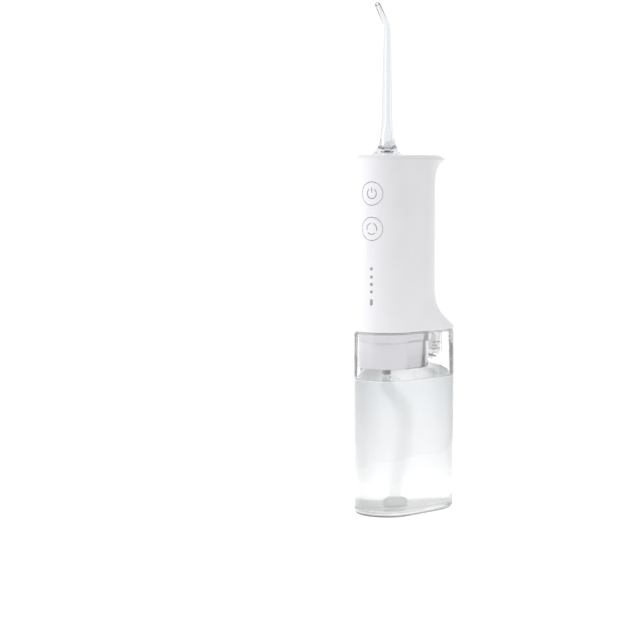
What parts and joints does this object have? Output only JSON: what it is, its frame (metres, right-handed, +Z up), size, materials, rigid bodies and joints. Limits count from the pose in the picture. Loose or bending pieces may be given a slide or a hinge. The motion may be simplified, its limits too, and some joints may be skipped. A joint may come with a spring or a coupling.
{
  "type": "water flosser",
  "caption": "Cordless water flosser: white handle with round buttons and a flared foot, clear push-on water tank and a clear bent nozzle.",
  "frame": {"origin": "middle of the base, where the tank stands", "axes": "+Z up; the buttons and the nozzle's tip face -Y; +X is to the right as seen from the front"},
  "size_m": [0.0518, 0.072, 0.2893],
  "materials": {
    "white_plastic": "satin white moulded plastic",
    "clear_plastic": "clear moulded plastic",
    "clear_nozzle": "clear moulded plastic",
    "silver_plastic": "satin silver-grey plastic",
    "silicone": "soft white silicone",
    "clear_silicone": "soft translucent silicone",
    "frosted_plastic": "frosted light guide",
    "inner_plastic": "grey moulded inner plastic",
    "acetal": "natural acetal",
    "steel": "bright steel",
    "circuit_board": "green solder mask",
    "cell_wrap": "blue heat-shrink wrap",
    "black_rubber": "black rubber"
  },
  "bodies": {
    "tank": {"tank_body": "clear_plastic", "refill_pin": "steel"},
    "handle": {"handle_shell": "white_plastic", "deck_plate": "white_plastic", "base_plate": "white_plastic", "pump_cup": "silver_plastic", "tank_gasket": "silicone", "chassis": "inner_plastic", "battery_cell": "cell_wrap", "control_board": "circuit_board", "power_switch": "black_rubber", "mode_switch": "black_rubber", "led_1": "frosted_plastic", "led_2": "frosted_plastic", "led_3": "frosted_plastic", "led_4": "frosted_plastic", "led_5": "frosted_plastic", "light_guide": "frosted_plastic", "button_membrane": "silicone", "motor": "steel", "gear_axle": "steel", "pump_cylinder": "inner_plastic", "inlet_valve": "black_rubber", "outlet_valve": "black_rubber", "delivery_tube": "silicone", "release_spring": "steel", "charge_socket": "steel", "charge_pin": "steel", "suction_tube": "clear_silicone", "suction_strainer": "white_plastic", "board_screw_left": "steel", "board_screw_right": "steel", "chassis_screw_left": "steel", "chassis_screw_right": "steel"},
    "nozzle_rotor": {"nozzle_socket": "white_plastic", "socket_ring": "black_rubber"},
    "nozzle": {"nozzle": "clear_nozzle"},
    "power_button": {"power_button": "white_plastic"},
    "mode_button": {"mode_button": "white_plastic"},
    "release_button": {"release_button": "white_plastic"},
    "nozzle_latch": {"nozzle_latch": "steel"},
    "charge_cover": {"charge_cover": "silicone"},
    "refill_cover": {"refill_cover": "clear_silicone", "refill_seal": "clear_silicone"},
    "drive_gear": {"drive_gear": "acetal"},
    "motor_pinion": {"motor_pinion": "acetal"},
    "connecting_rod": {"connecting_rod": "acetal"},
    "piston": {"piston": "acetal"}
  },
  "joints": [
    {"name": "handle_lift", "type": "slide", "parent": "tank", "child": "handle", "axis": [0, 0, 1], "range_m": [0, 0.115]},
    {"name": "nozzle_turn", "type": "hinge", "parent": "handle", "child": "nozzle_rotor", "pos_m": [0, -0.0175, 0.195], "axis": [0, 0, 1], "continuous": true},
    {"name": "nozzle_pull", "type": "slide", "parent": "nozzle_rotor", "child": "nozzle", "axis": [0, 0, 1], "range_m": [0, 0.02]},
    {"name": "power_press", "type": "slide", "parent": "handle", "child": "power_button", "axis": [0, 1, 0], "range_m": [0, 0.0006], "stiffness_N_per_m": 1500},
    {"name": "mode_press", "type": "slide", "parent": "handle", "child": "mode_button", "axis": [0, 1, 0], "range_m": [0, 0.0006], "stiffness_N_per_m": 1500},
    {"name": "release_press", "type": "slide", "parent": "handle", "child": "release_button", "axis": [0, 0, -1], "range_m": [0, 0.0012], "stiffness_N_per_m": 800, "deforming": ["release_spring"]},
    {"name": "latch_slide", "type": "slide", "parent": "handle", "child": "nozzle_latch", "axis": [0, -1, 0], "range_m": [0, 0.0012]},
    {"name": "charge_cover_hinge", "type": "hinge", "parent": "handle", "child": "charge_cover", "pos_m": [0, 0.01465, 0.1436], "axis": [-1, 0, 0], "range_deg": [0, 95]},
    {"name": "refill_cover_hinge", "type": "hinge", "parent": "tank", "child": "refill_cover", "pos_m": [0, 0.0345, 0.082], "axis": [-1, 0, 0], "range_deg": [0, 95]},
    {"name": "gear_spin", "type": "hinge", "parent": "handle", "child": "drive_gear", "pos_m": [0, -0.025, 0.118], "axis": [0, 1, 0], "continuous": true},
    {"name": "pinion_spin", "type": "hinge", "parent": "handle", "child": "motor_pinion", "pos_m": [0, -0.025, 0.134], "axis": [0, 1, 0], "continuous": true},
    {"name": "rod_swing", "type": "hinge", "parent": "drive_gear", "child": "connecting_rod", "pos_m": [0, -0.021, 0.1165], "axis": [0, 1, 0], "continuous": true},
    {"name": "piston_stroke", "type": "slide", "parent": "handle", "child": "piston", "axis": [0, 0, 1], "range_m": [0, 0.003]}
  ],
  "couplings": [
    {"joint": "pinion_spin", "follows": "gear_spin", "ratio": -3},
    {"joint": "rod_swing", "follows": "gear_spin", "ratio": -1},
    {"joint": "latch_slide", "follows": "release_press", "ratio": 1}
  ]
}
